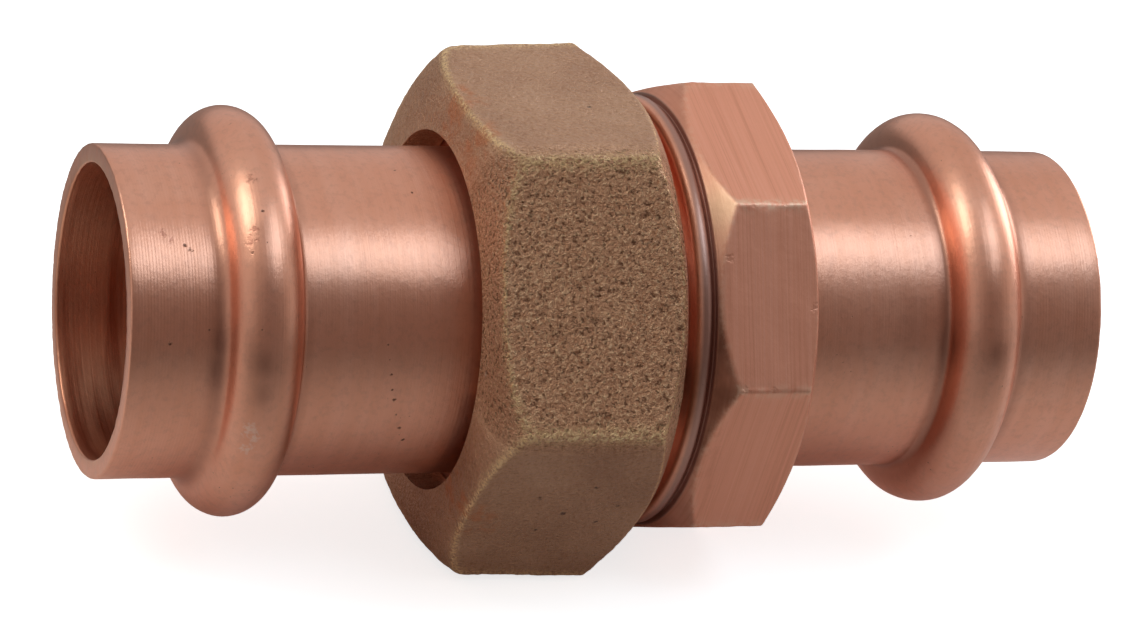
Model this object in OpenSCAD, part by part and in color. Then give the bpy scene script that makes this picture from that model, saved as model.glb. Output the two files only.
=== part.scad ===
// Press-by-press pipe union for 3/4 in copper tube.
// Two copper halves meet on a metal-to-metal cone seat. A bronze nut, held captive on the
// tailpiece between its collar and its bead, screws onto the threaded body and pulls them together.
// Every piece is drawn upright about the pipe axis, with z counted from the tailpiece's open end,
// and then laid along X. The origin is the middle of the pipe axis.

/* [Press ends] */
// Outer diameter of the copper tube
tube_od = 25.3; // [25:0.1:25.7]
// Inner diameter of each press socket
socket_id = 22.35; // [22.3:0.05:22.5]
// Depth of each press socket, down to its stop
socket_depth = 23; // [20:0.5:24]
// Diameter of the waterway between the two stops
waterway_d = 20; // [18:0.5:20]
// Distance from the tailpiece's open end to the middle of its bead
tail_bead_pos = 10.15; // [9:0.05:12]
// Distance from the threaded body's open end to the middle of its bead
body_bead_pos = 10.4; // [9:0.05:12]
// Diameter over the crown of each bead
bead_od = 31.3; // [31:0.1:31.6]
// Radius of the bead's round section
bead_round = 2.75; // [2.6:0.05:2.9]
// Fillet between the bead and the tube on the open-end side
bead_fillet_end = 1.3; // [0.3:0.1:1.6]
// Fillet between the bead and the tube on the middle side
bead_fillet_mid = 0.6; // [0.3:0.1:1.6]
// Thickness of each O-ring's round section
o_ring_section = 3; // [2.8:0.05:3]
// Chamfer that breaks the outer edge of each open end
end_break = 0.15; // [0.1:0.05:0.5]

/* [Lengths along the pipe] */
// From the tailpiece's open end to the nut
tail_len = 26.45; // [25:0.05:36]
// Length of the nut
nut_len = 14.95; // [14.5:0.05:16]
// Gap from the nut to the octagon
relief_len = 2.65; // [2.6:0.05:3.2]
// Length of the octagon
octagon_len = 8.2; // [7:0.1:14]
// From the octagon to the threaded body's open end
lead_len = 26.25; // [25:0.05:36]

/* [Union nut] */
// Distance across the nut's flats at its wide, open side
nut_af = 36.7; // [36.4:0.1:40]
// Draft of each cast flat, in degrees
nut_draft = 2; // [0:0.25:3]
// Diameter of the clearance hole round the tailpiece
nut_bore_d = 27.8; // [27:0.1:28.2]
// Thickness of the end wall that pulls on the collar
nut_end_wall = 3.2; // [2.8:0.1:3.6]
// Radius of the domed edge at the closed side
nut_dome = 7.2; // [6:0.1:9]
// Diameter of the flat ring where the dome starts
nut_face_d = 30.8; // [29:0.1:32]
// Diameter of the face at the open side, inside its chamfer
nut_open_face_d = 35.4; // [34.4:0.1:36]

/* [Thread] */
// Outer diameter of the right-hand male thread
thread_od = 31.8; // [31.6:0.1:32]
// Distance that the nut travels in one turn
thread_pitch = 1.5; // [1.5:0.1:1.6]
// Height of the male thread's ridge
thread_depth = 0.95; // [0.9:0.01:1]
// Radial clearance at the root and the crest of the mating threads
thread_gap = 0.15; // [0.12:0.01:0.2]
// Half the width of a ridge at its crest
crest_half = 0.1; // [0.08:0.01:0.12]

/* [Collar and seat] */
// Diameter of the tailpiece's collar inside the nut
collar_d = 29.8; // [29.4:0.1:29.8]
// Length of the collar
collar_len = 3.75; // [3:0.05:3.8]
// Diameter of the nose that enters the seat
nose_d = 26; // [25:0.1:26.4]
// Diameter of the 45 degree seat at its mouth
seat_d = 27.2; // [27:0.1:27.6]
// Gap left between faces that meet when the nut is tight
face_gap = 0.05; // [0.03:0.01:0.1]

/* [Octagon] */
// Distance across the octagon's flats
octagon_af = 34.5; // [34.2:0.1:37]
// Angle from straight down to the nearest of the octagon's flats, in degrees
octagon_turn = 15; // [0:1:45]
// Diameter of the octagon's face on the nut side, inside its 45 degree chamfer
octagon_face_d = 33.9; // [33.4:0.1:34.2]
// Diameter of the octagon's face on the open-end side, inside its chamfer
octagon_back_d = 34.1; // [33.4:0.1:34.2]
// Rise of the open-end side chamfer for each millimetre along the pipe
octagon_back_slope = 1.85; // [1:0.05:2.5]
// Fillet between the octagon and the tube
octagon_fillet = 1.2; // [0.6:0.1:2]
// Diameter over the small round ring beside the octagon
ring_d = 33.8; // [33.4:0.1:34]
// Radius of the ring's round section
ring_round = 0.6; // [0.5:0.05:0.6]

/* [Hidden] */
$fn = 96;

COPPER = "#c9795c";
BRONZE = "#8f7656";
RUBBER = "#1b1b1d";

// Past-the-edge length for cuts
CUT = 1;
// Side of the blocks that cut the nut's flats
BLOCK = 80;
// Straight steps in one turn of a thread's ridge
STEPS_PER_TURN = 36;
// Depth by which a ridge is rooted in its wall
RIDGE_ROOT = 0.12;
// Half the angle between a thread's two flanks
FLANK_ANGLE = 30;
// Height by which an O-ring stands into its socket
O_RING_STAND_IN = 0.125;
// Thinning of the tube's wall where it is drawn out into a bead
BEAD_THINNING = 0.3;
// Gap along the pipe from the collar to the threaded body
COLLAR_GAP = 0.7;
// Thickness of the nose's wall at its tip
NOSE_TIP_WALL = 0.9;
// From the threaded body's end to the first ridge
MALE_LEAD_IN = 0.95;
// From the last male ridge to the octagon
MALE_RUN_OUT = 1.7;
// From the last female ridge to the nut's open side
FEMALE_RUN_OUT = 1.25;
// Extra clearance over the core of the male thread
CORE_RELIEF = 0.1;
// From the small ring's middle to the octagon
RING_SETBACK = 1.05;
// Depth of the recess behind the ring, below the middle of its round
RECESS_DROP = 0.4;
// Rise of the nut's open-side chamfer for each millimetre along the pipe
NUT_OPEN_SLOPE = 1.5;
// Chamfer round the mouth of the nut's thread
COUNTERSINK = 0.5;
// Chamfer on the collar's edges
COLLAR_BREAK = 0.3;
// Fillet in the corner between the tube and the collar
NECK_FILLET = 0.8;
// Fillet in the corner between the thread's relief and the ring
RING_FILLET = 0.45;
HEXAGON_SIDES = 6;
OCTAGON_SIDES = 8;

tube_r = tube_od / 2;
socket_r = socket_id / 2;
waterway_r = waterway_d / 2;

nut_z0 = tail_len;
nut_z1 = nut_z0 + nut_len;
octagon_z0 = nut_z1 + relief_len;
octagon_z1 = octagon_z0 + octagon_len;
length = octagon_z1 + lead_len;

bead_centre_r = bead_od / 2 - bead_round;
bead_wall = tube_r - socket_r - BEAD_THINNING;
channel_round = bead_round - bead_wall;
o_ring_r = socket_r - O_RING_STAND_IN + o_ring_section / 2;

collar_z0 = nut_z0 + nut_end_wall + face_gap;
collar_z1 = collar_z0 + collar_len;
collar_r = collar_d / 2;

body_z0 = collar_z1 + COLLAR_GAP;
seat_r = seat_d / 2;
seat_z1 = body_z0 + seat_r - waterway_r;
nose_r = nose_d / 2;
nose_cone_z0 = body_z0 + seat_r - nose_r - face_gap * sqrt(2);
nose_tip_r = waterway_r + NOSE_TIP_WALL;
nose_z1 = nose_cone_z0 + nose_r - nose_tip_r;

male_r = thread_od / 2;
core_r = male_r - thread_depth;
female_r = male_r + thread_gap;
female_crest_r = core_r + thread_gap + CORE_RELIEF;
male_z0 = body_z0 + MALE_LEAD_IN;
male_turns = (octagon_z0 - MALE_RUN_OUT - male_z0) / thread_pitch;
female_z0 = male_z0 - thread_pitch / 2;
female_turns = (nut_z1 - FEMALE_RUN_OUT - female_z0) / thread_pitch;

ring_centre_r = ring_d / 2 - ring_round;
ring_z = octagon_z0 - RING_SETBACK;
recess_r = ring_centre_r - RECESS_DROP;

// Lays an upright piece along X, with the middle of the pipe at the origin
module lay_along_x() {
    translate([-length / 2, 0, 0])
        rotate([0, 90, 0])
            children();
}

// Distance along the pipe from a bead's middle to the foot of its fillet
function fillet_foot(fillet) =
    sqrt(pow(bead_round + fillet, 2) - pow(tube_r + fillet - bead_centre_r, 2));

// Half section of a bead, with a fillet on each side where its round meets the tube
module bead() {
    foot_end = fillet_foot(bead_fillet_end);
    foot_mid = fillet_foot(bead_fillet_mid);
    translate([bead_centre_r, 0])
        circle(bead_round);
    difference() {
        polygon([
            [tube_r - CUT, -foot_end],
            [tube_r + bead_fillet_end, -foot_end],
            [bead_centre_r, 0],
            [tube_r + bead_fillet_mid, foot_mid],
            [tube_r - CUT, foot_mid]
        ]);
        translate([tube_r + bead_fillet_end, -foot_end])
            circle(bead_fillet_end);
        translate([tube_r + bead_fillet_mid, foot_mid])
            circle(bead_fillet_mid);
    }
}

// Half section of a press end's outside, from its open end at z = 0
module press_end_outside(len, bead_pos) {
    polygon([
        [0, 0],
        [tube_r - end_break, 0],
        [tube_r, end_break],
        [tube_r, len],
        [0, len]
    ]);
    translate([0, bead_pos])
        bead();
}

// Half section of a press end's hollow: the socket, and the channel that holds the O-ring
module press_end_hollow(bead_pos) {
    translate([0, -CUT])
        square([socket_r, socket_depth + CUT]);
    translate([0, bead_pos]) {
        translate([bead_centre_r, 0])
            circle(channel_round);
        translate([0, -channel_round])
            square([bead_centre_r, 2 * channel_round]);
    }
}

// Half section of the fillet in a corner between a tube and the face above it
module corner_fillet(fillet) {
    difference() {
        translate([-CUT, -CUT])
            square(fillet + CUT);
        translate([fillet, fillet])
            circle(fillet);
    }
}

module tailpiece_outside() {
    press_end_outside(collar_z1, tail_bead_pos);
    translate([tube_r, collar_z0])
        mirror([0, 1])
            corner_fillet(NECK_FILLET);
    polygon([
        [0, collar_z0],
        [collar_r - COLLAR_BREAK, collar_z0],
        [collar_r, collar_z0 + COLLAR_BREAK],
        [collar_r, collar_z1 - COLLAR_BREAK],
        [collar_r - COLLAR_BREAK, collar_z1],
        [nose_r, collar_z1],
        [nose_r, nose_cone_z0],
        [nose_tip_r, nose_z1],
        [0, nose_z1]
    ]);
}

module tailpiece_hollow() {
    press_end_hollow(tail_bead_pos);
    square([waterway_r, nose_z1 + CUT]);
}

// Left half: press end, collar that the nut pulls on, and conical nose
module tailpiece() {
    color(COPPER)
        lay_along_x()
            rotate_extrude()
                difference() {
                    tailpiece_outside();
                    tailpiece_hollow();
                }
}

module o_ring(z) {
    translate([0, 0, z])
        rotate_extrude()
            translate([o_ring_r, 0])
                circle(o_ring_section / 2);
}

module tailpiece_o_ring() {
    color(RUBBER)
        lay_along_x()
            o_ring(tail_bead_pos);
}

module body_o_ring() {
    color(RUBBER)
        lay_along_x()
            o_ring(length - body_bead_pos);
}

// One right-hand helical ridge about z, from its root radius to its crest radius
module thread_ridge(root_r, crest_r, z0, turns) {
    root_half = crest_half + tan(FLANK_ANGLE) * abs(crest_r - root_r);
    steps = ceil(turns * STEPS_PER_TURN);
    section = [
        [root_r, -root_half],
        [crest_r, -crest_half],
        [crest_r, crest_half],
        [root_r, root_half]
    ];
    // The section runs clockwise seen from its start, whichever way the ridge points
    order = crest_r > root_r ? [3, 2, 1, 0] : [0, 1, 2, 3];
    points = [
        for (i = [0:steps])
            let (a = 360 * i / STEPS_PER_TURN)
                for (k = order)
                    [
                        section[k][0] * cos(a),
                        section[k][0] * sin(a),
                        z0 + section[k][1] + thread_pitch * i / STEPS_PER_TURN
                    ]
    ];
    sides = [
        for (i = [0:steps - 1])
            for (k = [0:3])
                let (a = 4 * i + k, b = 4 * i + (k + 1) % 4)
                    for (t = [[a, a + 4, b], [b, a + 4, b + 4]])
                        t
    ];
    last = 4 * steps;
    caps = [[0, 1, 2], [0, 2, 3], [last, last + 2, last + 1], [last, last + 3, last + 2]];
    polyhedron(points, concat(sides, caps));
}

// A block bounded by six flats that draw in towards the closed side
module drafted_hexagon() {
    intersection_for (i = [1:HEXAGON_SIDES])
        rotate([0, 0, 360 / HEXAGON_SIDES * i])
            translate([nut_af / 2, 0, nut_z1])
                rotate([0, nut_draft, 0])
                    translate([-BLOCK, -BLOCK / 2, -BLOCK / 2])
                        cube(BLOCK);
}

// Half section that rounds the nut's closed side into a dome and chamfers its open side
module nut_envelope() {
    face_r = nut_face_d / 2;
    open_face_r = nut_open_face_d / 2;
    widest_r = face_r + nut_dome;
    intersection() {
        union() {
            translate([0, nut_z0])
                square([face_r, nut_len]);
            translate([face_r, nut_z0 + nut_dome])
                circle(nut_dome);
            translate([0, nut_z0 + nut_dome])
                square([widest_r, nut_len - nut_dome]);
        }
        polygon([
            [0, nut_z0],
            [widest_r, nut_z0],
            [widest_r, nut_z1 - (widest_r - open_face_r) / NUT_OPEN_SLOPE],
            [open_face_r, nut_z1],
            [0, nut_z1]
        ]);
    }
}

// Half section of the nut's hollow: clearance hole, cavity and its countersunk mouth
module nut_hollow() {
    polygon([
        [0, nut_z0 - CUT],
        [nut_bore_d / 2, nut_z0 - CUT],
        [nut_bore_d / 2, nut_z0 + nut_end_wall],
        [female_r, nut_z0 + nut_end_wall],
        [female_r, nut_z1 - COUNTERSINK],
        [female_r + COUNTERSINK + CUT, nut_z1 + CUT],
        [0, nut_z1 + CUT]
    ]);
}

// Cast bronze nut with a female thread
module union_nut() {
    color(BRONZE)
        lay_along_x() {
            difference() {
                intersection() {
                    drafted_hexagon();
                    rotate_extrude()
                        nut_envelope();
                }
                rotate_extrude()
                    nut_hollow();
            }
            thread_ridge(female_r + RIDGE_ROOT, female_crest_r, female_z0, female_turns);
        }
}

// Half section of the threaded body's outside, without the octagon's flats
module body_outside() {
    translate([0, length])
        mirror([0, 1])
            press_end_outside(lead_len + CUT, body_bead_pos);
    translate([tube_r, octagon_z1])
        corner_fillet(octagon_fillet);
    translate([0, body_z0])
        square([core_r, octagon_z0 + CUT - body_z0]);
    // The small ring, on a stem that rises from the thread's relief
    translate([0, ring_z]) {
        translate([ring_centre_r, 0])
            circle(ring_round);
        translate([0, -ring_round])
            square([ring_centre_r, 2 * ring_round]);
        translate([core_r, -ring_round])
            mirror([0, 1])
                corner_fillet(RING_FILLET);
        square([recess_r, octagon_z0 + CUT - ring_z]);
    }
}

// Half section that chamfers both sides of the octagon
module octagon_envelope() {
    widest_r = octagon_af;
    face_r = octagon_face_d / 2;
    back_r = octagon_back_d / 2;
    intersection() {
        polygon([
            [0, octagon_z0],
            [face_r, octagon_z0],
            [widest_r, octagon_z0 + widest_r - face_r],
            [0, octagon_z0 + widest_r - face_r]
        ]);
        polygon([
            [0, octagon_z1],
            [back_r, octagon_z1],
            [widest_r, octagon_z1 - (widest_r - back_r) / octagon_back_slope],
            [0, octagon_z1 - (widest_r - back_r) / octagon_back_slope]
        ]);
    }
}

module octagon() {
    half_side = 180 / OCTAGON_SIDES;
    corner_r = octagon_af / 2 / cos(half_side);
    intersection() {
        translate([0, 0, octagon_z0])
            rotate([0, 0, octagon_turn + half_side])
                cylinder(r = corner_r, h = octagon_len, $fn = OCTAGON_SIDES);
        rotate_extrude()
            octagon_envelope();
    }
}

// Half section of the threaded body's hollow: seat, waterway and socket
module body_hollow() {
    polygon([
        [0, body_z0 - CUT],
        [seat_r + CUT, body_z0 - CUT],
        [waterway_r, seat_z1],
        [waterway_r, length],
        [0, length]
    ]);
    translate([0, length])
        mirror([0, 1])
            press_end_hollow(body_bead_pos);
}

// Right half: male thread, ring, octagon for the wrench, and press end
module threaded_body() {
    color(COPPER)
        lay_along_x()
            difference() {
                union() {
                    rotate_extrude()
                        body_outside();
                    octagon();
                    thread_ridge(core_r - RIDGE_ROOT, male_r, male_z0, male_turns);
                }
                rotate_extrude()
                    body_hollow();
            }
}

tailpiece();
tailpiece_o_ring();
union_nut();
threaded_body();
body_o_ring();
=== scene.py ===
import math
import bpy
import numpy as np
from mathutils import Matrix, Vector


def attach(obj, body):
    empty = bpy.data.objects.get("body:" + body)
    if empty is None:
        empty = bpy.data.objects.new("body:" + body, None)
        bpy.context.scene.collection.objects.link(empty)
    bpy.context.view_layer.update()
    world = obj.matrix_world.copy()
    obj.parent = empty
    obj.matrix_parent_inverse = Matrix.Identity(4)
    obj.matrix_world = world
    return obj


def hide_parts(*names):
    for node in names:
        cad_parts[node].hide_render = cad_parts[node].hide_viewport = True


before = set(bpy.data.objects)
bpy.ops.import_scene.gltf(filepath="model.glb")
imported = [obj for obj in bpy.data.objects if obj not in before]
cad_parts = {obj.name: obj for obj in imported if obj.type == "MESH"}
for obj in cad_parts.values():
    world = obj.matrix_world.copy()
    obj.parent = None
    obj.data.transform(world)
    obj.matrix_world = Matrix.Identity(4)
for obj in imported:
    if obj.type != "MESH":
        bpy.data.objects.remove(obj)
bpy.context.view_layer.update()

MM = 0.001
TURNING_PITCH = 0.00024  # m, of the fine turned rings on the leads

# ---------------------------------------------------------------- sizes, in mm
# s is counted from the tailpiece's open end, and the origin is at s = HALF
HALF = 39.25
LENGTH = 2 * HALF
TUBE_R, SOCKET_R, WATERWAY_R = 12.65, 11.175, 10.0
LIP_R = 11.9
SOCKET_DEPTH = 23.0
# Press beads: TAIL_BEAD and BODY_BEAD are counted from each bead's own end
BEAD_CENTRE_R, BEAD_ROUND, CHANNEL_ROUND = 12.9, 2.75, 1.575
FILLET_END, FILLET_MID = 1.3, 0.6
TAIL_BEAD, BODY_BEAD = 10.15, 10.4
SEAL_R, SEAL_ROUND = 12.55, 1.5
# Tailpiece: the collar that the nut pulls on, and the conical nose that seals
COLLAR_0, COLLAR_1, COLLAR_R = 29.70, 33.45, 14.9
NOSE_R, NOSE_0, NOSE_1, NOSE_TIP_R = 13.0, 34.68, 36.78, 10.9
# Nut: the domed closed side, the drafted flats, the open side's chamfer, and the hollow
NUT_0, NUT_1 = 26.45, 41.40
NUT_FLAT_R, NUT_DRAFT = 36.7 / 2, 2
DOME_R, DOME_ROUND = 15.4, 7.2
NUT_CHAMFER_0, NUT_FACE_R, NUT_CHAMFER_SLOPE = 38.2, 17.7, 1.5
NUT_BORE_R, CAVITY_0 = 13.9, 29.65
# Threaded body: the ring beside the octagon, the octagon with its chamfers, and the seat
BODY_0, SEAT_R, SEAT_END = 34.15, 13.6, 37.75
GROOVE_0, RING_S, RING_R, RING_ROUND = 41.75, 43.25, 16.17, 0.72
OCT_0, OCT_1, OCT_FLAT_R, OCT_FACE_R = 44.05, 52.25, 34.5 / 2, 16.95
OCT_FULL_0, OCT_FULL_1, OCT_BACK_R, OCT_BACK_SLOPE, OCT_MOST_R = 45.9, 51.3, 17.05, 1.85, 21
# Threads: each starts at its own place, and runs for its number of turns
PITCH, FLANK_ANGLE, CREST_HALF = 1.5, 30, 0.1
MALE_R, CORE_R, MALE_0, MALE_TURNS = 15.9, 14.95, 35.10, 4.833
FEMALE_R, FEMALE_CREST_R, FEMALE_0, FEMALE_TURNS = 16.05, 15.2, 34.35, 3.867
# Directions that the flats face, in degrees from +Y towards +Z; one flat of each faces up and forward
FRONT_FLAT = 150
NUT_FLATS = np.arange(-90, 211, 60)
OCT_FLATS = FRONT_FLAT + 45.0 * np.arange(8)


# ---------------------------------------------------------------- noise
def noise3(p, seed):
    """Smooth gradient noise at the points p (..., 3), from about -1 to 1."""
    rng = np.random.default_rng(seed)
    perm = rng.permutation(256)
    grads = rng.normal(size=(256, 3))
    grads /= np.linalg.norm(grads, axis=1, keepdims=True)
    cell = np.floor(p).astype(int)
    f = p - cell
    w = f * f * f * (f * (f * 6 - 15) + 10)
    total = np.zeros(p.shape[:-1])
    for i in (0, 1):
        for j in (0, 1):
            for k in (0, 1):
                c = cell + (i, j, k)
                h = perm[(perm[(perm[c[..., 0] & 255] + c[..., 1]) & 255] + c[..., 2]) & 255]
                dot = (grads[h] * (f - (i, j, k))).sum(-1)
                wx = w[..., 0] if i else 1 - w[..., 0]
                wy = w[..., 1] if j else 1 - w[..., 1]
                wz = w[..., 2] if k else 1 - w[..., 2]
                total += dot * wx * wy * wz
    return total * 1.6


def fractal(p, seed, octaves=3):
    """Sum of octaves of noise3, each twice as fine and half as strong."""
    total, amp = 0.0, 1.0
    for i in range(octaves):
        total = total + amp * noise3(p * 2.0 ** i, seed + i)
        amp *= 0.5
    return total / 1.6


def smin(a, b, k):
    """Smooth minimum, which rounds an edge with a width of about k."""
    h = np.clip(0.5 + 0.5 * (b - a) / k, 0, 1)
    return b * (1 - h) + a * h - k * h * (1 - h)


def step(x, a, b):
    """0 at a, 1 at b, smooth between them and held outside. a may be the larger."""
    t = np.clip((x - a) / (b - a), 0, 1)
    return t * t * (3 - 2 * t)


# ---------------------------------------------------------------- profiles (s, r)
def arc(cs, cr, r, a0, a1, n):
    """n points of an arc about (cs, cr), from angle a0 to a1 in degrees."""
    a = np.radians(np.linspace(a0, a1, n))
    return [(cs + r * math.cos(t), cr + r * math.sin(t)) for t in a]


def rounded(points, gap):
    """The polyline through (s, r, corner radius), with round corners, and points no further apart than gap."""
    n = len(points)
    out = []
    for i, (s, r, c) in enumerate(points):
        p = np.array((s, r), float)
        if c <= 0 or i in (0, n - 1):
            out.append(p)
            continue
        a = np.array(points[i - 1][:2], float) - p
        b = np.array(points[i + 1][:2], float) - p
        la, lb = np.linalg.norm(a), np.linalg.norm(b)
        c = min(c, 0.45 * la, 0.45 * lb)
        for t in np.linspace(0, 1, 5):
            out.append(p + a / la * c * (1 - t) ** 2 + b / lb * c * t ** 2)
    dense = [out[0]]
    for q in out[1:]:
        d = np.linalg.norm(q - dense[-1])
        if d < 1e-6:
            continue
        k = max(1, math.ceil(d / gap))
        start = dense[-1]
        dense += [start + (q - start) * t / k for t in range(1, k + 1)]
    return [tuple(q) for q in dense]


def foot(fillet):
    """Distance along the pipe from the bead's middle to where its fillet meets the tube."""
    return math.sqrt((BEAD_ROUND + fillet) ** 2 - (TUBE_R + fillet - BEAD_CENTRE_R) ** 2)


def bead_outside(s):
    """The bead's profile with its two fillets, in the direction of growing s for the tailpiece."""
    pts = []
    f1, f2 = (s - foot(FILLET_END), TUBE_R + FILLET_END), (s + foot(FILLET_MID), TUBE_R + FILLET_MID)
    t1 = math.degrees(math.atan2(BEAD_CENTRE_R - f1[1], s - f1[0]))
    t2 = math.degrees(math.atan2(f2[1] - BEAD_CENTRE_R, f2[0] - s))
    pts += arc(*f1, FILLET_END, -90, t1, 9)
    pts += arc(s, BEAD_CENTRE_R, BEAD_ROUND, t1 + 180, t2, 27)[1:]
    pts += arc(*f2, FILLET_MID, t2 + 180, 270, 7)[1:]
    return [(a, b, 0) for a, b in pts]


def channel(s):
    """The O-ring's channel, from the deep side to the open side."""
    pts = [(s + CHANNEL_ROUND, SOCKET_R, 0.25)]
    pts += [(a, b, 0) for a, b in arc(s, BEAD_CENTRE_R, CHANNEL_ROUND, 0, 180, 11)]
    pts += [(s - CHANNEL_ROUND, SOCKET_R, 0.25)]
    return pts


def mirror_s(points):
    """The same profile from the other end of the fitting, in reverse order."""
    return [(LENGTH - p[0], *p[1:]) for p in reversed(points)]


# ---------------------------------------------------------------- meshes
def ring_mesh(name, pts, masks):
    """A closed ring-shaped skin from pts (rows, columns, 3) in mm, which wraps round in both directions."""
    rows, cols = pts.shape[:2]
    me = bpy.data.meshes.new(name)
    n = rows * cols
    me.vertices.add(n)
    me.vertices.foreach_set("co", (pts.reshape(-1, 3) * MM).astype(np.float32).ravel())
    r, c = np.meshgrid(np.arange(rows), np.arange(cols), indexing="ij")
    r1, c1 = (r + 1) % rows, (c + 1) % cols
    quads = np.stack([r * cols + c, r1 * cols + c, r1 * cols + c1, r * cols + c1], -1).reshape(-1, 4)
    me.loops.add(4 * n)
    me.loops.foreach_set("vertex_index", quads.ravel().astype(np.int32))
    me.polygons.add(n)
    me.polygons.foreach_set("loop_start", np.arange(0, 4 * n, 4, dtype=np.int32))
    me.polygons.foreach_set("use_smooth", np.ones(n, bool))
    for key, values in masks.items():
        attribute = me.attributes.new(key, "FLOAT", "POINT")
        attribute.data.foreach_set("value", values.astype(np.float32).ravel())
    me.update(calc_edges=True)
    me.validate()
    ob = bpy.data.objects.new(name, me)
    bpy.context.scene.collection.objects.link(ob)
    return ob


def angles(count, corners=0, corner_at=0.0, crowd=0.0):
    """Column angles, closer together near a polygon's corners."""
    t = np.linspace(0, 2 * math.pi, count, endpoint=False)
    if corners:
        t = t - crowd * np.sin(corners * (t - corner_at)) / corners
    return t


def place(s, r, a):
    """Points from the place along the pipe, the radius, and the angle from +Y towards +Z."""
    return np.stack([s - HALF + 0 * r, r * np.cos(a), r * np.sin(a)], -1)


def polygon_r(a, normals, flat_r, k):
    """Radius of a polygon whose flats face the given directions, with edges rounded over k."""
    d = (a[None, :] - np.radians(normals)[:, None] + math.pi) % (2 * math.pi) - math.pi
    d = np.where(abs(d) < 1.2, 1 / np.cos(np.clip(d, -1.2, 1.2)), 50)
    d.sort(axis=0)
    r0, r1 = flat_r * d[0], flat_r * d[1]
    return smin(r0, r1, k), r1 - r0


def ridge(s, a, s0, turns, depth):
    """Height of a right-hand thread's ridge, from 0 to 1, fading out at both ends."""
    phi = (np.degrees(a) + 90) % 360 / 360
    k = np.round((s - s0) / PITCH - phi)
    u = k + phi
    d = abs(s - s0 - PITCH * u)
    flank = depth * math.tan(math.radians(FLANK_ANGLE))
    h = np.clip((CREST_HALF + flank - d) / flank, 0, 1)
    h = h * h * (3 - 2 * h) * 0.25 + h * 0.75
    return h * step(u, 0, 0.12) * step(turns - u, 0, 0.05)


def spots(pts, places):
    """A mask of soft spots, each (s, angle in degrees, radius in mm, stretch along the pipe, strength)."""
    total = np.zeros(pts.shape[:2])
    a = np.degrees(np.arctan2(pts[..., 2], pts[..., 1]))
    r = np.hypot(pts[..., 1], pts[..., 2])
    for s, angle, size, stretch, strength in places:
        along = (pts[..., 0] + HALF - s) / stretch
        round_ = np.radians((a - angle + 180) % 360 - 180) * r
        total = np.maximum(total, strength * np.exp(-(along ** 2 + round_ ** 2) / size ** 2))
    return total


def bands(s, places):
    """A mask of soft bands round the pipe, each (s, half width, strength)."""
    return sum(strength * np.exp(-((s - middle) / half) ** 2) for middle, half, strength in places)


def forming(p, seed):
    """How far the formed tube is from round, in mm."""
    return 0.035 * noise3(p * (0.05, 0.16, 0.16), seed) + 0.02 * noise3(p * (0.4, 0.3, 0.3), seed + 1)


# ---- tailpiece
def build_tail():
    profile = rounded([
        (0, LIP_R, 0), (0, TUBE_R, 0.22)] + bead_outside(TAIL_BEAD) + [
        (COLLAR_0, TUBE_R, 0.8), (COLLAR_0, COLLAR_R, 0.3), (COLLAR_1, COLLAR_R, 0.3), (COLLAR_1, NOSE_R, 0),
        (NOSE_0, NOSE_R, 0.15), (NOSE_1, NOSE_TIP_R, 0.15), (NOSE_1, WATERWAY_R, 0.15),
        (SOCKET_DEPTH, WATERWAY_R, 0.2), (SOCKET_DEPTH, SOCKET_R, 0)] + channel(TAIL_BEAD) + [
        (0, SOCKET_R, 0.2), (0, LIP_R, 0)], 0.55)[:-1]
    s, r = np.array(profile).T
    a = angles(400)
    s, r = s[:, None] + 0 * a, r[:, None] + 0 * a
    a = a[None, :] + 0 * r
    p = place(s, r, a)
    # the formed tube isn't perfectly round, and its cut end is slightly ragged
    end = step(s, 1.2, 0)
    wave = forming(p, 11)
    outer = step(r, 12.0, 12.6) * step(s, 29, 28)
    r = r - outer * (0.03 + wave) - 0.03 * end * outer * abs(noise3(p * (0.1, 0.9, 0.9), 13))
    ragged = 0.05 * abs(noise3(p * (0.0, 0.8, 0.8), 14)) + 0.03 * abs(noise3(p * (0.0, 2.5, 2.5), 15))
    s = s + end * (0.03 + ragged)
    p = place(s, r, a)
    inner = step(r, 11.8, 11.3) * step(s, 25, 22)
    lead = step(s, 8.2, 5.5) * step(r, 12.0, 12.5)
    # painted shade: soft dark reflections painted on and beside the bead, shade painted in its fillets, and a painted
    # shadow where the nut shades the tube
    shade = spots(p, [
        (9.3, 167, 1.1, 0.7, 0.55), (9.4, 176, 1.0, 0.6, 0.45), (6.6, 163, 1.3, 0.35, 0.5),
        (6.5, 173, 1.6, 0.35, 0.5), (9.2, 131, 0.9, 0.8, 0.3)])
    shade = shade + bands(s, [(6.9, 0.5, 0.4), (13.3, 0.35, 0.3)])
    shade = shade + 0.25 * step(s, 22.5, 26) * step(s, 29, 27) + 0.12 * step(s, 8.1, 6.4) * step(s, 5.4, 6.2)
    return ring_mesh("tailpiece_shell", p, {"inner": inner, "lead": lead, "shade": shade})


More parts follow.
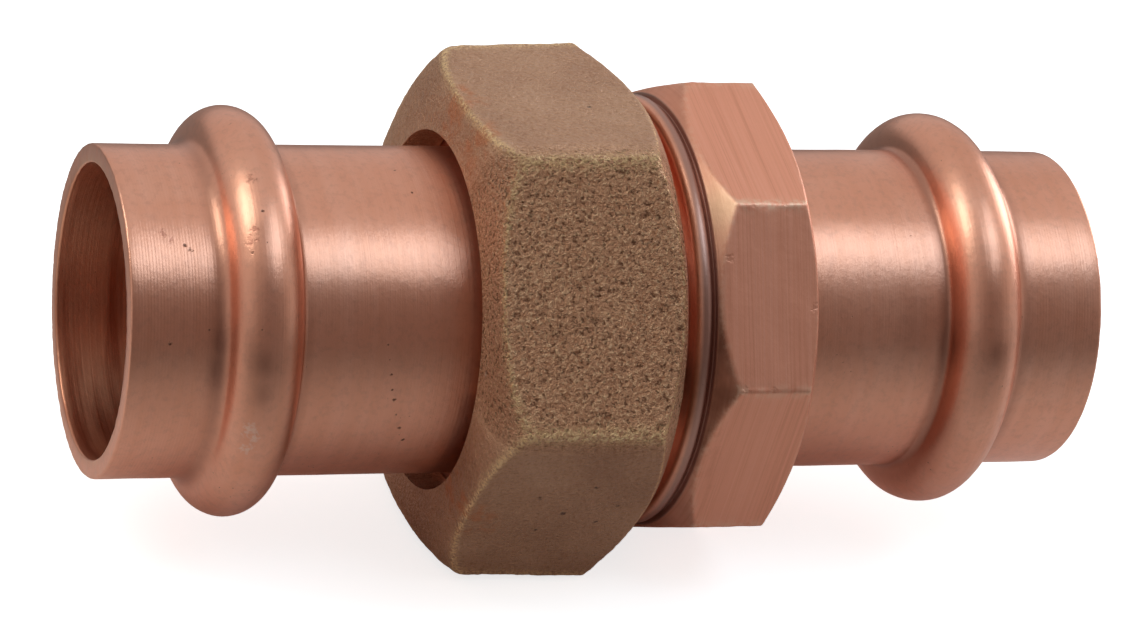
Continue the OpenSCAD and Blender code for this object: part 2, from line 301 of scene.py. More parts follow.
# ---- nut
def build_nut():
    rows = []
    # closed face, dome, flats and open-side chamfer: (s, envelope radius, 1 where the flats may cut)
    for t in np.linspace(0, 1, 6)[:-1]:
        rows.append((NUT_0, DOME_R - 1.2 * (1 - t), 0))
    for t in np.radians(np.linspace(0, 90, 58)):
        rows.append((NUT_0 + DOME_ROUND * (1 - math.cos(t)), DOME_R + DOME_ROUND * math.sin(t), 1))
    for s in np.linspace(NUT_0 + DOME_ROUND, NUT_CHAMFER_0, 20)[1:]:
        rows.append((s, DOME_R + DOME_ROUND, 1))
    for s in np.linspace(NUT_CHAMFER_0, NUT_1, 27)[1:]:
        rows.append((s, NUT_FACE_R + NUT_CHAMFER_SLOPE * (NUT_1 - s), 1))
    outer_rows = len(rows)
    inside = rounded([(NUT_1, 17.2, 0), (NUT_1, 16.55, 0), (40.9, FEMALE_R, 0)], 0.25)
    inside += [(s, FEMALE_R) for s in np.arange(40.8, 33.6, -0.14)]
    inside += rounded([
        (33.5, FEMALE_R, 0), (CAVITY_0, FEMALE_R, 0.3), (CAVITY_0, NUT_BORE_R, 0.3), (NUT_0, NUT_BORE_R, 0.5),
        (NUT_0, NUT_BORE_R + 0.1, 0)], 0.7)
    rows += [(s, r, 0) for s, r in inside]
    s, e, cut = np.array(rows).T
    a = angles(600, 6, 0.0, 0.4)
    hexa, second = polygon_r(a, NUT_FLATS, 1.0, 0.022)
    flat = NUT_FLAT_R - (NUT_1 - s) * math.tan(math.radians(NUT_DRAFT))
    r_hex = flat[:, None] * hexa[None, :]
    s, e, cut = s[:, None] + 0 * r_hex, e[:, None] + 0 * r_hex, cut[:, None] + 0 * r_hex
    a = a[None, :] + 0 * r_hex
    r = np.where(cut > 0, smin(e, r_hex, 0.5), e)
    row = np.arange(len(rows))[:, None] + 0 * r
    outer = step(row, -1, 2) * step(row, outer_rows + 1, outer_rows - 2)
    # edges: where the dome or the chamfer meets the flats, and where two flats meet; they are bright with wear, and the
    # narrow rim on the open side is also a painted edge highlight
    rim_width = np.where(s > 38, 0.16, 0.45)
    rim = np.exp(-((e - r_hex) / rim_width) ** 2) * (cut > 0)
    corner = np.exp(-(second[None, :] * flat[:, None] / 0.8) ** 2) * (r_hex < e + 0.3) * (cut > 0)
    # thread
    h = ridge(s, a, FEMALE_0, FEMALE_TURNS, FEMALE_R - FEMALE_CREST_R)
    threaded = (row >= outer_rows) & (s < 41.0) & (s > 33.4)
    r = r - np.where(threaded, h * (FEMALE_R - FEMALE_CREST_R), 0)
    # sand-cast skin, coarsest on the flat that faces up and forward
    p = place(s, r, a)
    front = step(np.cos(a - math.radians(FRONT_FLAT)), 0.80, 0.88)
    rough = 0.35 + 0.65 * front
    grain = fractal(p * 1.9, 21, 2)
    bumps = np.maximum(noise3(p * 2.6, 31), 0) ** 1.5
    skin = 0.125 * grain - 0.12 * bumps + 0.10 * noise3(p * 0.22, 41)
    ragged = rim * 0.10 * noise3(p * 1.3, 43) * (0.4 + front)
    wavy = (rim + corner) * 0.06 * noise3(p * 0.8, 44)
    drop = 0.09 + 0.07 * rough
    r = r + outer * (rough * skin - drop + np.minimum(ragged + wavy, 0.05))
    face = outer * step(s, NUT_0 + 0.8, NUT_0)
    s = s + face * (0.09 + 0.05 * noise3(p * 1.2, 45))
    p = place(s, r, a)
    edge = np.clip(rim + corner, 0, 1)
    # coppery patches round the bore, ragged where the skin has worn off
    patch = spots(p, [
        (27.0, 88, 2.6, 0.9, 1.0), (27.2, 106, 2.2, 0.9, 0.9), (27.4, 216, 2.8, 0.9, 1.0), (26.9, 330, 2.2, 0.9, 0.7)])
    rust = np.clip(patch * (0.55 + 1.1 * fractal(p * 0.9, 51)) + 0.12 * fractal(p * 0.3, 55), 0, 1)
    return ring_mesh("union_nut_cast", p, {"edge": edge, "rust": rust, "grain": front})


# ---- threaded body
def build_body():
    front = rounded([(BODY_0, SEAT_R + 0.3, 0), (BODY_0, CORE_R, 0.4), (BODY_0 + 0.6, CORE_R, 0)], 0.3)
    threaded = [(s, CORE_R) for s in np.arange(34.85, 41.7, 0.125)]
    groove = rounded([
        (GROOVE_0, CORE_R, 0), (RING_S - RING_ROUND - 0.03, CORE_R, 0.6), (RING_S - RING_ROUND, RING_R, 0)], 0.16)
    ring = arc(RING_S, RING_R, RING_ROUND, 180, 30, 15)[1:]
    recess = rounded([(*ring[-1], 0), (OCT_0, 16.50, 0.06), (OCT_0, OCT_FACE_R, 0)], 0.2)[1:]
    rows = [(s, r, 0) for s, r in front + threaded + groove + ring + recess]
    stations = (
        *np.linspace(OCT_0, OCT_FULL_0, 17)[1:], *np.linspace(OCT_FULL_0, OCT_FULL_1, 13)[1:],
        *np.linspace(OCT_FULL_1, OCT_1, 12)[1:])
    for s in stations:
        rows.append((s, min(OCT_FACE_R + (s - OCT_0), OCT_BACK_R + OCT_BACK_SLOPE * (OCT_1 - s), OCT_MOST_R), 1))
    tube = mirror_s(rounded([
        (0, LIP_R, 0), (0, TUBE_R, 0.3)] + bead_outside(BODY_BEAD) + [
        (LENGTH - OCT_1, TUBE_R, 1.3), (LENGTH - OCT_1, 16.6, 0)], 0.6))
    inside = rounded([
        (LENGTH, LIP_R, 0), (LENGTH, SOCKET_R, 0.2)] + mirror_s(channel(BODY_BEAD)) + [
        (LENGTH - SOCKET_DEPTH, SOCKET_R, 0), (LENGTH - SOCKET_DEPTH, WATERWAY_R, 0.2),
        (SEAT_END, WATERWAY_R, 0.2), (BODY_0, SEAT_R, 0.1), (BODY_0, SEAT_R + 0.3, 0)], 0.9)[1:-1]
    body_rows = len(rows)
    rows += [(s, r, 0) for s, r in tube]
    outer_rows = len(rows)
    rows += [(s, r, 0) for s, r in inside]
    s, e, cut = np.array(rows).T
    a = angles(480, 8, math.radians(FRONT_FLAT + 22.5), 0.4)
    octa, second = polygon_r(a, OCT_FLATS, OCT_FLAT_R, 0.12)
    s, e, cut = s[:, None] + 0 * octa, e[:, None] + 0 * octa, cut[:, None] + 0 * octa
    r_oct = octa[None, :] + 0 * s
    a = a[None, :] + 0 * s
    r = np.where(cut > 0, smin(e, r_oct, 0.16), e)
    row = np.arange(len(rows))[:, None] + 0 * r
    h = ridge(s, a, MALE_0, MALE_TURNS, MALE_R - CORE_R)
    r = r + np.where((row < body_rows) & (s < 42.3) & (s > 34.3), h * (MALE_R - CORE_R), 0)
    rim = np.exp(-((e - r_oct) / 0.3) ** 2) * (cut > 0)
    corner = np.exp(-(second[None, :] / 0.5) ** 2) * (r_oct < e + 0.2) * (cut > 0)
    p = place(s, r, a)
    # the octagon's edges aren't perfectly even, and the tube is formed like the tailpiece's
    flats = (cut > 0) * 1.0
    r = r - flats * (0.03 + 0.02 * noise3(p * (0.8, 0.3, 0.3), 61)) + corner * 0.05 * noise3(p * 1.4, 62)
    outside = step(row, outer_rows, outer_rows - 1)
    r = r - step(s, 53, 54) * outside * (0.03 + forming(p, 63))
    end = step(s, LENGTH - 1.2, LENGTH)
    s = s - end * (0.03 + 0.04 * abs(noise3(p * (0.0, 0.7, 0.7), 65)))
    p = place(s, r, a)
    inner = step(row, outer_rows - 1, outer_rows + 1)
    # a burr along the edge between the front and the top flat, and paler, brassy metal at its left end
    turn = (np.degrees(a) % 360) - (FRONT_FLAT - 22.5)
    burr = np.exp(-(np.radians(turn) * r / 0.28) ** 2) * step(s, 45.4, 45.9) * step(s, 51.6, 51.0) * flats
    edge = np.clip(0.35 * rim + 0.5 * corner + 1.5 * burr, 0, 1)
    lead = 0.5 * step(s, 71.5, 73.5) * outside
    chamfer = flats * step(s, 46.2, 45.9) * step(r_oct - e, -0.15, 0.25)
    # painted shade: the groove, the ring and the chamfer beside them are darkened where shade falls, and the chamfer
    # also carries a painted dark reflection of the nut
    neck = (row < body_rows) * step(s, OCT_0 + 0.05, OCT_0)
    dark = 0.35 * step(s, 43.3, 43.7) * neck
    dark = np.maximum(dark, chamfer * (0.35 + 0.65 * step(np.cos(a - math.radians(172)), 0.80, 0.95)))
    # painted dark reflection: a dark band in the groove, facing forward
    low = np.exp(-((np.degrees(a) % 360 - 176) / 9) ** 2)
    dark = np.maximum(dark, 0.9 * low * step(s, 41.0, 41.6) * step(s, 43.3, 42.9) * neck)
    # painted reflection: an orange glow in the groove, standing in for light thrown back between the copper and the nut
    heat = step(s, 41.0, 41.6) * step(s, 43.1, 42.7) * neck * (1 - low)
    # painted reflection: the ring is painted a dull grey-brown
    painted_grey_reflection = step(s, 42.8, 43.1) * neck
    gold = 0.8 * chamfer * np.exp(-(turn * r / 57.3 / 2.6) ** 2)
    # painted shade: soft dark reflections painted on the chamfer, the tube and the bead, shade painted in the bead's
    # fillets, and a painted shadow beside the octagon's back
    shade = spots(p, [
        (45.6, 198, 1.6, 0.5, 0.5), (62.0, 160, 2.2, 0.6, 0.25), (68.0, 166, 1.2, 0.6, 0.55),
        (65.1, 166, 1.5, 0.3, 0.5)])
    shade = shade + bands(s, [(65.1, 0.55, 0.7), (71.6, 0.5, 0.5)])
    shade = shade + 0.2 * step(s, 54.2, 52.6) * (s > 52.2)
    return ring_mesh("threaded_body_shell", p, {
        "shade": shade, "inner": inner, "edge": edge, "facet": flats, "lead": lead,
        "dark": dark * (1 - gold), "gold": gold, "heat": heat, "painted_grey_reflection": painted_grey_reflection})


def build_o_ring(name, s):
    a = angles(160)[None, :]
    t = np.radians(np.arange(0, 360, 12.0))[:, None]
    r = SEAL_R + SEAL_ROUND * np.cos(t)
    p = place(s - SEAL_ROUND * np.sin(t) + 0 * a, r + 0 * a, a + 0 * t)
    flash = np.clip(1 - abs(np.sin(t)) * 12, 0, 1) + 0 * a
    return ring_mesh(name, p, {"flash": flash})


tail = build_tail()
nut = build_nut()
body = build_body()
tail_ring = build_o_ring("tailpiece_seal", TAIL_BEAD)
body_ring = build_o_ring("body_seal", LENGTH - BODY_BEAD)


# ---------------------------------------------------------------- materials
class Nodes:
    """A small helper that builds a material's node tree."""

    def __init__(self, name):
        self.mat = bpy.data.materials.new(name)
        self.mat.use_nodes = True
        self.tree = self.mat.node_tree
        self.bsdf = self.tree.nodes["Principled BSDF"]
        self.coord = self.tree.nodes.new("ShaderNodeTexCoord").outputs["Object"]
        self.xyz = self.tree.nodes.new("ShaderNodeSeparateXYZ")
        self.link(self.coord, self.xyz.inputs[0])

    def link(self, a, b):
        self.tree.links.new(a, b)

    def mapped(self, scale, offset=(0, 0, 0)):
        n = self.tree.nodes.new("ShaderNodeMapping")
        n.inputs["Scale"].default_value = scale
        n.inputs["Location"].default_value = offset
        self.link(self.coord, n.inputs["Vector"])
        return n.outputs[0]

    def noise(self, scale, detail=2.0, rough=0.5, distort=0.0, offset=(0, 0, 0)):
        """Noise with the given number of features per metre along x, y and z."""
        n = self.tree.nodes.new("ShaderNodeTexNoise")
        n.inputs["Scale"].default_value = 1.0
        n.inputs["Detail"].default_value = detail
        n.inputs["Roughness"].default_value = rough
        n.inputs["Distortion"].default_value = distort
        self.link(self.mapped(scale, offset), n.inputs["Vector"])
        return n.outputs["Fac"]

    def cells(self, scale, offset=(0, 0, 0)):
        n = self.tree.nodes.new("ShaderNodeTexVoronoi")
        n.inputs["Scale"].default_value = 1.0
        self.link(self.mapped(scale, offset), n.inputs["Vector"])
        return n.outputs["Distance"]

    def mask(self, name):
        n = self.tree.nodes.new("ShaderNodeAttribute")
        n.attribute_name = name
        return n.outputs["Fac"]

    def ramp(self, value, stops):
        n = self.tree.nodes.new("ShaderNodeValToRGB")
        e = n.color_ramp.elements
        while len(e) < len(stops):
            e.new(0.5)
        for slot, (pos, colour) in zip(e, stops):
            slot.position = pos
            slot.color = (*colour, 1) if len(colour) == 3 else colour
        self.link(value, n.inputs["Fac"])
        return n.outputs["Color"]

    def span(self, value, a, b, c=0.0, d=1.0):
        """value from a..b mapped to c..d, held at the ends."""
        n = self.tree.nodes.new("ShaderNodeMapRange")
        for key, v in zip(("From Min", "From Max", "To Min", "To Max"), (a, b, c, d)):
            n.inputs[key].default_value = v
        self.link(value, n.inputs["Value"])
        return n.outputs[0]

    def math(self, op, a, b=0.0):
        n = self.tree.nodes.new("ShaderNodeMath")
        n.operation = op
        for slot, v in zip(n.inputs, (a, b)):
            if isinstance(v, (int, float)):
                slot.default_value = v
            else:
                self.link(v, slot)
        return n.outputs[0]

    def mix(self, fac, a, b, blend="MIX"):
        n = self.tree.nodes.new("ShaderNodeMix")
        n.data_type = "RGBA"
        n.blend_type = blend
        for key, v in ((0, fac), (6, a), (7, b)):
            if isinstance(v, (int, float)):
                n.inputs[key].default_value = v
            elif isinstance(v, tuple):
                n.inputs[key].default_value = (*v, 1)
            else:
                self.link(v, n.inputs[key])
        return n.outputs[2]

    def bump(self, height, distance, strength, under=None):
        n = self.tree.nodes.new("ShaderNodeBump")
        n.inputs["Distance"].default_value = distance
        n.inputs["Strength"].default_value = strength
        self.link(height, n.inputs["Height"])
        if under is not None:
            self.link(under, n.inputs["Normal"])
        return n.outputs[0]

    def spots(self, places, radius, wobble=1.0):
        """A mask of spots at the given (s, angle, distance from the axis), with ragged outlines."""
        warp = self.noise((3500, 3500, 3500), 3.0)
        total = None
        for s, angle, r, *size in places:
            a = math.radians(angle)
            d = self.tree.nodes.new("ShaderNodeVectorMath")
            d.operation = "DISTANCE"
            d.inputs[1].default_value = ((s - HALF) * MM, r * math.cos(a) * MM, r * math.sin(a) * MM)
            self.link(self.coord, d.inputs[0])
            reach = (size[0] if size else radius) * MM
            near = self.math("DIVIDE", d.outputs["Value"], reach)
            total = near if total is None else self.math("MINIMUM", total, near)
        ragged = self.math("ADD", total, self.span(warp, 0.3, 0.7, -0.5 * wobble, 0.5 * wobble))
        return self.span(ragged, 1.0, 0.3)

    def finish(self, colour, rough, normal, metallic):
        self.link(colour, self.bsdf.inputs["Base Color"])
        self.link(rough, self.bsdf.inputs["Roughness"])
        self.link(normal, self.bsdf.inputs["Normal"])
        self.bsdf.inputs["Metallic"].default_value = metallic
        return self.mat


def turned(n, satin):
    """Makes a shader's gloss spread along the pipe, across the turning lines."""
    tangent = n.tree.nodes.new("ShaderNodeTangent")
    tangent.direction_type = "RADIAL"
    tangent.axis = "X"
    n.link(tangent.outputs[0], n.bsdf.inputs["Tangent"])
    n.bsdf.inputs["Anisotropic"].default_value = satin
    n.bsdf.inputs["Anisotropic Rotation"].default_value = 0.25


def copper(name, marks, facet=False):
    """Satin copper with turning lines round the pipe, faint stains, pits and a darker inside.

    With facet, it has the octagon's scratched flats, its bright burr, and painted shade and painted reflections in the
    groove beside it too."""
    n = Nodes(name)
    lines = n.noise((6500, 30, 30), 3, 0.6)
    broad = n.noise((900, 14, 14), 2, 0.5, offset=(3, 1, 2))
    stain = n.noise((70, 90, 90), 4, 0.6, 0.6)
    mottle = n.noise((1700, 1500, 1500), 4, 0.7, offset=(5, 5, 5))
    tone = n.ramp(stain, [(0.25, (0.87, 0.41, 0.275)), (0.5, (0.93, 0.46, 0.32)), (0.75, (0.96, 0.53, 0.39))])
    tone = n.mix(n.span(broad, 0.35, 0.7, 0.0, 0.35), tone, (0.82, 0.36, 0.22))
    tone = n.mix(n.span(mottle, 0.48, 0.7, 0.0, 0.4), tone, (0.66, 0.33, 0.24))
    # painted shade: the shade mask darkens the colour where shade and dark reflections are painted
    tone = n.mix(n.math("MINIMUM", n.mask("shade"), 0.8), tone, (0.38, 0.17, 0.12))
    inner = n.mask("inner")
    streak = n.noise((500, 45, 45), 3, 0.6, offset=(8, 2, 1))
    warm = n.ramp(streak, [(0.36, (0.52, 0.17, 0.09)), (0.56, (1.0, 0.55, 0.36))])
    tone = n.mix(n.math("MULTIPLY", inner, 0.85), tone, warm)
    pits = n.span(n.cells((1500, 1300, 1300)), 0.10, 0.02)
    pits = n.math("MULTIPLY", pits, n.span(n.noise((160, 160, 160), 2), 0.56, 0.66))
    pits = n.math("MAXIMUM", pits, n.spots(marks["pits"], 0.16))
    scuffs = n.math("MULTIPLY", n.spots(marks["scuffs"], 0.5, 1.6), 0.7)
    residue = n.math("MULTIPLY", n.spots(marks["residue"], 0.8, 1.2), 0.7)
    tone = n.mix(scuffs, tone, (0.50, 0.20, 0.14))
    tone = n.mix(n.math("MULTIPLY", pits, 0.9), tone, (0.08, 0.04, 0.028))
    tone = n.mix(residue, tone, (0.93, 0.63, 0.51))
    rough = n.span(n.math("ADD", lines, stain), 0.6, 1.4, 0.29, 0.38)
    if facet:
        f = n.mask("facet")
        scratch = n.noise((2600, 30, 30), 4, 0.7, 1.0, offset=(1, 7, 3))
        rough = n.math("ADD", rough, n.math("MULTIPLY", f, 0.16))
        plain = n.ramp(scratch, [(0.3, (0.82, 0.36, 0.235)), (0.5, (0.96, 0.45, 0.305)), (0.7, (1.0, 0.50, 0.355))])
        tone = n.mix(n.math("MULTIPLY", f, 0.85), tone, plain)
        # painted reflection: dull grey-brown on the ring
        tone = n.mix(n.math("MULTIPLY", n.mask("painted_grey_reflection"), 0.75), tone, (0.40, 0.245, 0.215))
        # painted shade and painted dark reflections round the groove, the ring and the chamfer
        dark = n.mask("dark")
        uneven = n.span(n.noise((350, 250, 250), 3), 0.3, 0.6, 0.45, 0.9)
        tone = n.mix(n.math("MULTIPLY", dark, uneven), tone, (0.22, 0.09, 0.055))
        tone = n.mix(n.mask("gold"), tone, (0.86, 0.55, 0.36))
        # painted reflection: the groove's orange glow
        tone = n.mix(n.mask("heat"), tone, (1.0, 0.46, 0.22))
        burr = n.math("MULTIPLY", n.mask("edge"), n.span(n.noise((1500, 1500, 1500), 3, 0.7), 0.42, 0.6))
        tone = n.mix(n.math("MULTIPLY", burr, 0.75), tone, (0.98, 0.68, 0.50))
    normal = n.bump(lines, 0.00004, 0.35)
    normal = n.bump(mottle, 0.00006, 0.3, normal)
    rings = n.math("SINE", n.math("MULTIPLY", n.xyz.outputs["X"], 2 * math.pi / TURNING_PITCH))
    rings = n.math("MULTIPLY", rings, n.mask("lead"))
    normal = n.bump(rings, 0.000002, 1.0, normal)
    normal = n.bump(n.math("ADD", pits, n.math("MULTIPLY", scuffs, 0.4)), -0.00005, 0.35, normal)
    turned(n, 0.5)
    return n.finish(tone, rough, normal, 1.0)


def bronze(name, marks):
    """Sand-cast bronze: tan-brown skin with a coarse grain whose specks and hollows are partly painted glints and
    painted shade, bright worn edges with a painted edge highlight on the open side's rim, and coppery patches.
    """
    n = Nodes(name)
    grain = n.noise((2900, 2900, 2900), 3, 0.62, 0.0)
    fine = n.noise((7500, 7500, 7500), 2, 0.6)
    blotch = n.noise((120, 120, 120), 4, 0.6, 0.4)
    coarse = n.mask("grain")
    tone = n.ramp(blotch, [(0.3, (0.50, 0.265, 0.16)), (0.55, (0.60, 0.335, 0.205)), (0.75, (0.66, 0.39, 0.25))])
    speck = n.noise((4300, 4300, 4300), 2, 0.6, offset=(4, 9, 2))
    # the flat that faces up and forward is given a paler, warmer tone
    tone = n.mix(n.math("MULTIPLY", coarse, 0.5), tone, (0.95, 0.50, 0.29))
    # bright specks on the grain: partly the cast skin's own specks, partly painted glints
    peak = n.math("MULTIPLY", n.span(speck, 0.53, 0.62), n.span(coarse, 0, 1, 0.12, 1.0))
    # dark tone in the grain's hollows: partly the skin's own colour, partly painted shade
    pocket = n.math("MULTIPLY", n.span(grain, 0.47, 0.34), n.span(coarse, 0, 1, 0.2, 0.85))
    tone = n.mix(peak, tone, (1.0, 0.64, 0.39))
    tone = n.mix(pocket, tone, (0.18, 0.07, 0.032))
    tone = n.mix(n.span(n.mask("rust"), 0.25, 0.7, 0.0, 0.75), tone, (0.62, 0.23, 0.10))
    # bright worn edges; along the open side's narrow rim this is also a painted edge highlight
    edge = n.math("MULTIPLY", n.mask("edge"), n.span(speck, 0.38, 0.58))
    tone = n.mix(edge, tone, (1.0, 0.70, 0.38))
    pits = n.spots(marks["pits"], 0.28)
    tone = n.mix(n.math("MULTIPLY", pits, 0.8), tone, (0.10, 0.055, 0.035))
    tone = n.mix(n.spots(marks["specks"], 0.22), tone, (0.90, 0.70, 0.56))
    rough = n.span(grain, 0.35, 0.65, 0.55, 0.30)
    height = n.math("ADD", n.math("MULTIPLY", grain, n.span(coarse, 0, 1, 0.2, 1.0)), n.math("MULTIPLY", fine, 0.1))
    height = n.math("ADD", height, n.math("MULTIPLY", speck, n.span(coarse, 0, 1, 0.1, 0.75)))
    normal = n.bump(height, 0.0015, 1.0)
    normal = n.bump(pits, -0.0002, 0.7, normal)
    return n.finish(tone, rough, normal, 0.75)


def rubber(name):
    """Black moulded rubber with a faint parting line."""
    n = Nodes(name)
    skin = n.noise((2500, 2500, 2500), 3, 0.6)
    tone = n.mix(skin, (0.012, 0.012, 0.013), (0.03, 0.03, 0.032))
    tone = n.mix(n.math("MULTIPLY", n.mask("flash"), 0.5), tone, (0.05, 0.05, 0.055))
    rough = n.span(skin, 0.3, 0.7, 0.45, 0.62)
    return n.finish(tone, rough, n.bump(skin, 0.00003, 0.4), 0.0)


# Small marks: (s, angle in degrees from +Y towards +Z, distance from the axis[, radius]), in mm
TAIL_MARKS = {
    "pits": [
        (4.3, 130.2, 12.62), (4.7, 132.0, 12.62, 0.22), (3.0, 163.4, 12.62), (5.9, 158.8, 12.62, 0.12),
        (19.6, 164.3, 12.62, 0.1), (19.8, 169.5, 12.62, 0.12), (20.1, 174.9, 12.62, 0.14), (20.3, 180.6, 12.62, 0.12),
        (20.6, 184.5, 12.62, 0.16), (21.0, 190.8, 12.62, 0.14), (21.5, 196.9, 12.62, 0.17), (22.1, 203.2, 12.62, 0.15),
        (21.9, 96.2, 12.62, 0.12), (22.6, 108.3, 12.62, 0.1), (9.0, 88.7, 15.6, 0.2), (8.5, 136.5, 15.3, 0.2),
        (9.1, 157.7, 15.45, 0.12), (9.6, 124.8, 15.55, 0.14)],
    "scuffs": [(2.7, 126.0, 12.62, 0.34), (3.3, 128.6, 12.62, 0.26), (8.4, 133.1, 15.3, 0.55), (8.9, 130.0, 15.45, 0.4),
               (9.2, 113.6, 15.5, 0.4)],
    "residue": [(8.9, 186.8, 15.45, 0.6), (8.9, 193.9, 15.45, 0.55), (8.0, 190.0, 15.2, 0.45), (9.3, 189.5, 15.5, 0.4)],
}
BODY_MARKS = {
    "pits": [
        (45.0, 140.1, 17.5, 0.35), (46.1, 171.5, 18.5, 0.3), (46.4, 172.2, 18.5, 0.25), (48.4, 171.8, 18.6, 0.3),
        (51.8, 152.5, 17.3, 0.32), (52.0, 151.5, 17.3, 0.25), (47.0, 128.0, 18.6, 0.2), (49.6, 127.6, 18.6, 0.16)],
    "scuffs": [(45.0, 186.0, 17.6, 0.5), (45.3, 192.0, 17.3, 0.7), (45.2, 199.0, 17.4, 0.6), (45.8, 204.0, 17.6, 0.4)],
    "residue": [(59.0, 20.0, 12.6, 0.3)],
}
NUT_MARKS = {
    "pits": [(32.0, 205.0, 17.8), (34.5, 212.0, 18.0), (36.0, 200.0, 18.4), (30.5, 215.0, 17.7, 0.2),
             (37.5, 216.0, 18.2, 0.2), (33.0, 220.0, 18.2, 0.22), (38.5, 208.0, 18.2, 0.2), (36.5, 95.0, 18.1, 0.2)],
    "specks": [(25.9, 172.5, 14.6), (26.6, 171.0, 15.2), (27.2, 175.0, 17.4, 0.15)],
}

for piece, material, carrier, node, slot in (
    (tail, copper("copper_satin", TAIL_MARKS), "tail", "tailpiece", "copper"),
    (nut, bronze("bronze_cast", NUT_MARKS), "nut", "union_nut", "bronze"),
    (body, copper("copper_turned", BODY_MARKS, facet=True), "body", "threaded_body", "copper"),
    (tail_ring, rubber("rubber_black"), "tail", "tailpiece_o_ring", "seal"),
    (body_ring, rubber("rubber_black_2"), "body", "body_o_ring", "seal"),
):
    piece.data.materials.append(material)
    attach(piece, carrier)
    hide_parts(node)


# ---------------------------------------------------------------- floor, light and camera
# The floor is white to the camera. To light and reflections it is grey, with a painted pool of light round the object.
FLOOR_Z = -18.53 * MM
FLOOR_HALF = 3.0
POOL_REACH = 0.16
POOL_STOPS = ((0.0, 0.92), (0.10, 0.76), (0.16, 0.62), (0.25, 0.49), (0.5, 0.34), (1.0, 0.28))
corners = [(x * FLOOR_HALF, y * FLOOR_HALF, FLOOR_Z) for x, y in ((-1, -1), (1, -1), (1, 1), (-1, 1))]
floor_mesh = bpy.data.meshes.new("floor")
floor_mesh.from_pydata(corners, [], [(0, 1, 2, 3)])
floor = bpy.data.objects.new("floor", floor_mesh)
bpy.context.scene.collection.objects.link(floor)
paint = bpy.data.materials.new("floor_white")
paint.use_nodes = True
t = paint.node_tree
for node in list(t.nodes):
    t.nodes.remove(node)
out = t.nodes.new("ShaderNodeOutputMaterial")
both = t.nodes.new("ShaderNodeMixShader")
path = t.nodes.new("ShaderNodeLightPath")
seen = t.nodes.new("ShaderNodeAddShader")
white = t.nodes.new("ShaderNodeBsdfDiffuse")
white.inputs["Color"].default_value = (0.9, 0.9, 0.9, 1)
lift = t.nodes.new("ShaderNodeEmission")
lift.inputs["Color"].default_value = (1, 1, 1, 1)
lift.inputs["Strength"].default_value = 0.75
grey = t.nodes.new("ShaderNodeBsdfDiffuse")
place_on_floor = t.nodes.new("ShaderNodeSeparateXYZ")
aside = t.nodes.new("ShaderNodeMath")
aside.operation = "ABSOLUTE"
nearness = t.nodes.new("ShaderNodeMapRange")
nearness.inputs["From Max"].default_value = POOL_REACH
# painted pool of light: the grey floor is paler near the line under the object, darker further off
pool = t.nodes.new("ShaderNodeValToRGB")
while len(pool.color_ramp.elements) < len(POOL_STOPS):
    pool.color_ramp.elements.new(0.5)
for e, (position, value) in zip(pool.color_ramp.elements, POOL_STOPS):
    e.position, e.color = position, (value, 0.93 * value, 0.89 * value, 1)
for source, target in (
    (t.nodes.new("ShaderNodeTexCoord").outputs["Object"], place_on_floor.inputs[0]),
    (place_on_floor.outputs["Y"], aside.inputs[0]),
    (aside.outputs[0], nearness.inputs["Value"]),
    (nearness.outputs[0], pool.inputs["Fac"]),
    (pool.outputs["Color"], grey.inputs["Color"]),
    (white.outputs[0], seen.inputs[0]),
    (lift.outputs[0], seen.inputs[1]),
    (path.outputs["Is Camera Ray"], both.inputs[0]),
    (grey.outputs[0], both.inputs[1]),
    (seen.outputs[0], both.inputs[2]),
    (both.outputs[0], out.inputs["Surface"]),
):
    t.links.new(source, target)
floor_mesh.materials.append(paint)

# The room is bright behind the object and dark in front of it, a little above the horizon
DARK_ELEVATION = math.radians(5)
world = bpy.data.worlds.new("studio")
world.use_nodes = True
bpy.context.scene.world = world
t = world.node_tree
back = t.nodes["Background"]
direction = t.nodes.new("ShaderNodeTexCoord").outputs["Generated"]
facing = t.nodes.new("ShaderNodeVectorMath")
facing.operation = "DOT_PRODUCT"
facing.inputs[1].default_value = (0, -math.cos(DARK_ELEVATION), math.sin(DARK_ELEVATION))
t.links.new(direction, facing.inputs[0])
shade = t.nodes.new("ShaderNodeValToRGB")
elements = shade.color_ramp.elements
elements[0].position, elements[0].color = 0.25, (0.57, 0.545, 0.53, 1)
elements[1].position, elements[1].color = 0.85, (0.175, 0.140, 0.128, 1)
t.links.new(facing.outputs["Value"], shade.inputs["Fac"])
t.links.new(shade.outputs["Color"], back.inputs["Color"])
back.inputs["Strength"].default_value = 1.0

LIGHT_DISTANCE = 0.45


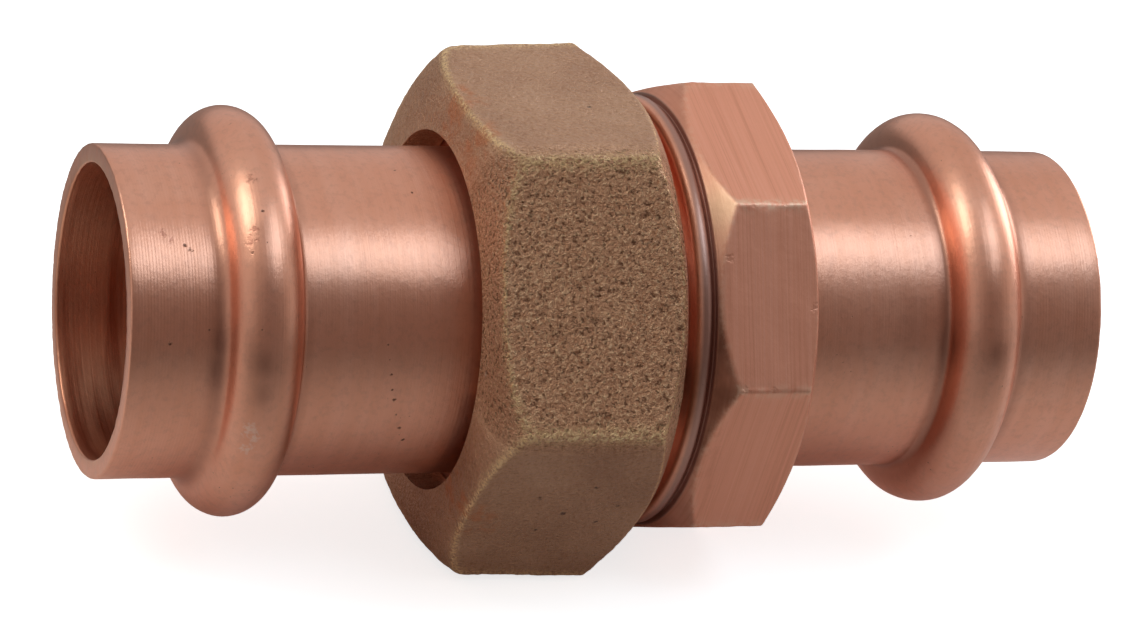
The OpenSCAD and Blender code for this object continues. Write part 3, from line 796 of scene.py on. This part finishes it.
def softbox(name, azimuth, elevation, width, height, radiance, tint):
    """A rectangular light that looks at the origin, in metres and degrees. Azimuth 0 is -Y, positive to +X."""
    az, el = math.radians(azimuth), math.radians(elevation)
    light = bpy.data.lights.new(name, "AREA")
    light.shape = "RECTANGLE"
    light.size, light.size_y = width, height
    light.energy = radiance * math.pi * width * height
    light.color = tint
    ob = bpy.data.objects.new(name, light)
    ob.location = LIGHT_DISTANCE * Vector((math.cos(el) * math.sin(az), -math.cos(el) * math.cos(az), math.sin(el)))
    ob.rotation_euler = (-ob.location).to_track_quat("-Z", "Y").to_euler()
    bpy.context.scene.collection.objects.link(ob)


softbox("key", 43, 60, 0.28, 0.20, 1.5, (0.76, 1.06, 1.27))
softbox("side_left", -98, 44, 0.20, 0.20, 2.8, (0.93, 1.05, 1.0))
softbox("side_right", 112, 15, 0.20, 0.22, 3.0, (0.92, 1.02, 1.1))

# The camera, in mm: it stands off from the point aim, then turns slightly to frame the object as in the photo
ROLL = -0.0050
STAND_OFF = 330.76
TURN_RIGHT, TURN_UP = 0.28, -0.41
aim = Vector((-1.25, 0, 0))
azimuth, elevation = math.radians(20.065), math.radians(27.6)
away = Vector((-math.sin(azimuth), -math.cos(azimuth) * math.cos(elevation), math.cos(azimuth) * math.sin(elevation)))
eye = aim + STAND_OFF * away
up = Vector((0, math.sin(elevation), math.cos(elevation)))


def basis(look):
    """The camera's right and up directions when it looks along look, rolled by ROLL."""
    right = look.cross(up).normalized()
    top = right.cross(look)
    c, s = math.cos(ROLL), math.sin(ROLL)
    return c * right + s * top, -s * right + c * top


right, top = basis((aim - eye).normalized())
look = (aim + TURN_RIGHT * right + TURN_UP * top - eye).normalized()
right, top = basis(look)
cam = bpy.data.cameras.new("camera")
cam.lens = 134.06
cam.sensor_width = 36
cam.clip_start = 0.01
cam_ob = bpy.data.objects.new("camera", cam)
bpy.context.scene.collection.objects.link(cam_ob)
cam_ob.matrix_world = Matrix.Translation(eye * MM) @ Matrix((right, top, -look)).transposed().to_4x4()
bpy.context.scene.camera = cam_ob
bpy.context.scene.view_settings.view_transform = "Standard"
